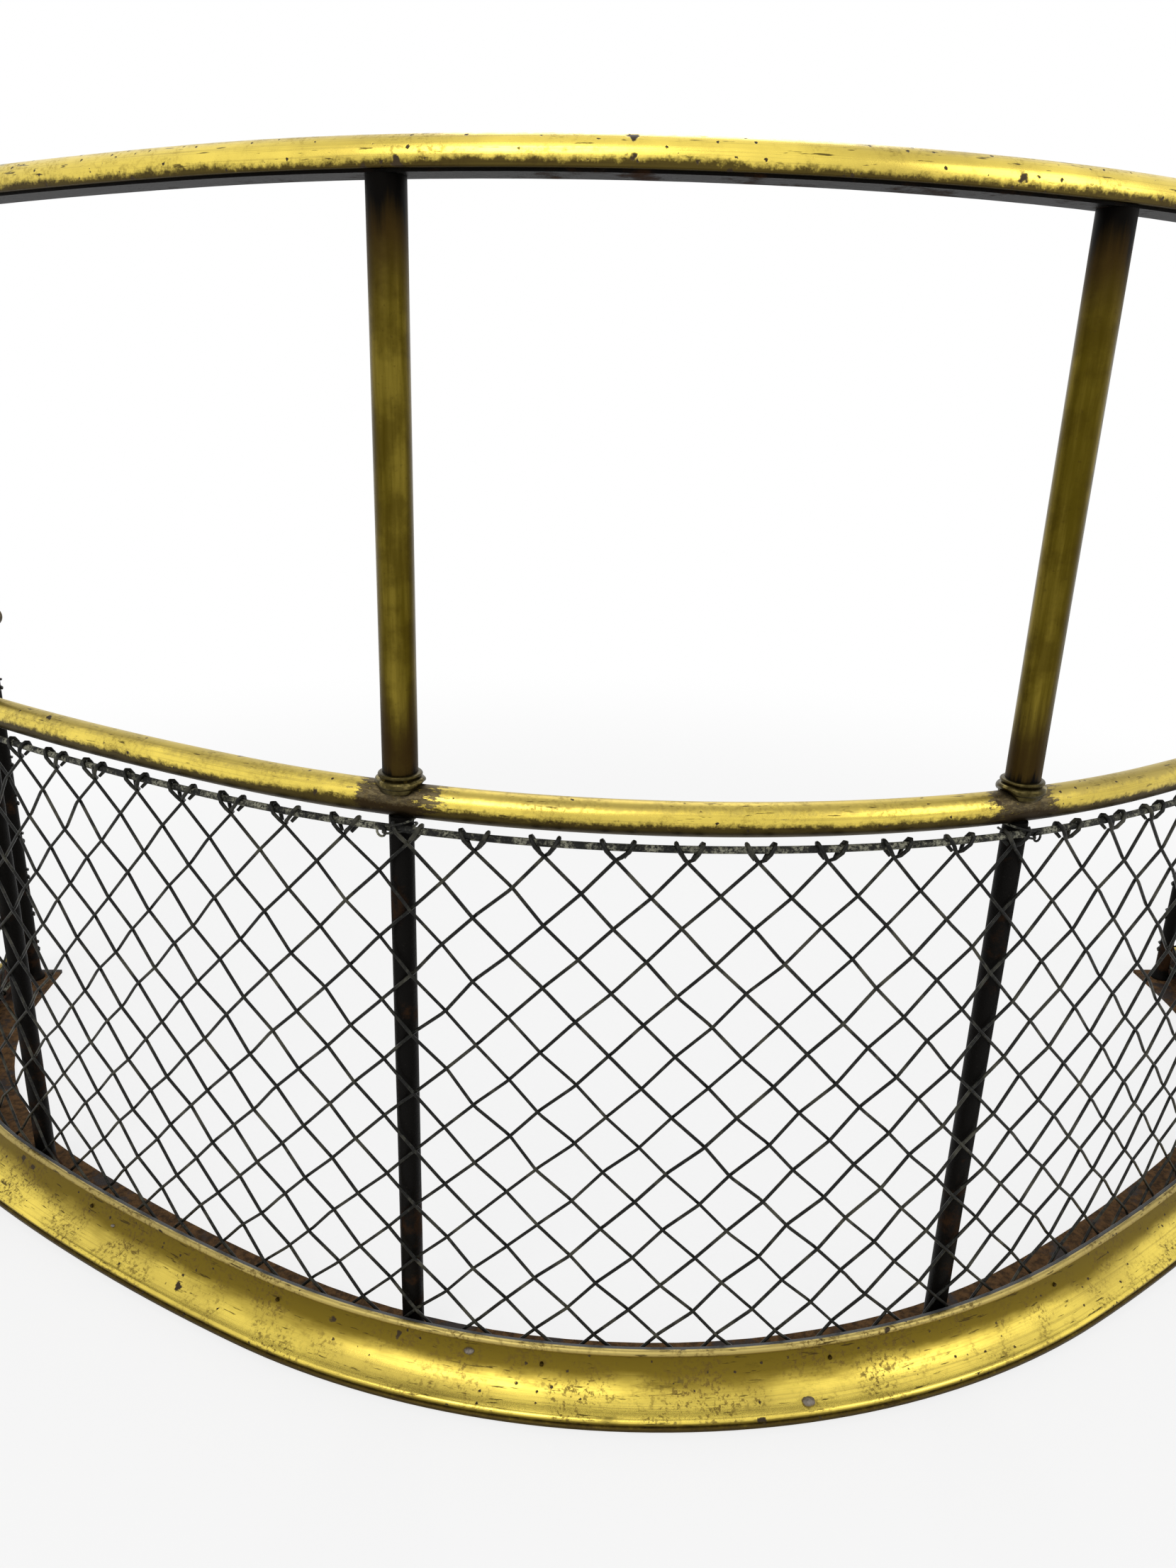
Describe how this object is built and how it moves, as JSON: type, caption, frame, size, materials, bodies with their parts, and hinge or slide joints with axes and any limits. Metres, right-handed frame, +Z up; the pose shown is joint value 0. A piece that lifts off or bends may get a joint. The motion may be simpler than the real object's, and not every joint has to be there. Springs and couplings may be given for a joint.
{
  "type": "fireplace screen",
  "caption": "Bow-fronted nursery fire screen: brass-cased iron rails and posts over a woven wire front and a moulded brass kerb, open at the back.",
  "frame": {"origin": "on the floor, at the middle of the object's footprint", "axes": "+X along the width to the viewer's right, +Y from the bowed front towards the wall, +Z up"},
  "size_m": [0.9476, 0.4192, 0.506],
  "materials": {
    "bright_brass": "old polish, darkened in the hollows, pitted",
    "aged_brass": "dull olive patina, nearly black at the joints",
    "dark_iron": "blackened, rust showing through",
    "rusty_iron": "brown rust",
    "black_wire": "black, worn to grey at the crossings"
  },
  "bodies": {
    "root": {"base_plate": "rusty_iron", "base_kerb": "dark_iron", "base_moulding": "bright_brass", "base_rivets": "dark_iron", "moulding_pins": "aged_brass", "mid_rail_core": "dark_iron", "mid_rail_casing": "bright_brass", "mid_rail_end_caps": "aged_brass", "top_rail_bar": "dark_iron", "top_rail_capping": "bright_brass", "top_rail_end_caps": "aged_brass", "mesh_top_rod": "black_wire", "mesh_bottom_rod": "black_wire", "mesh_left_lay": "black_wire", "mesh_right_lay": "black_wire", "rod_ties": "black_wire", "stanchion_1": "dark_iron", "stanchion_2": "dark_iron", "stanchion_3": "dark_iron", "stanchion_4": "dark_iron", "stanchion_5": "dark_iron", "stanchion_6": "dark_iron", "post_sleeve_1": "aged_brass", "post_sleeve_2": "aged_brass", "post_sleeve_3": "aged_brass", "post_sleeve_4": "aged_brass", "post_sleeve_5": "aged_brass", "post_sleeve_6": "aged_brass", "post_collar_1": "aged_brass", "post_collar_2": "aged_brass", "post_collar_3": "aged_brass", "post_collar_4": "aged_brass", "post_collar_5": "aged_brass", "post_collar_6": "aged_brass"}
  },
  "joints": []
}
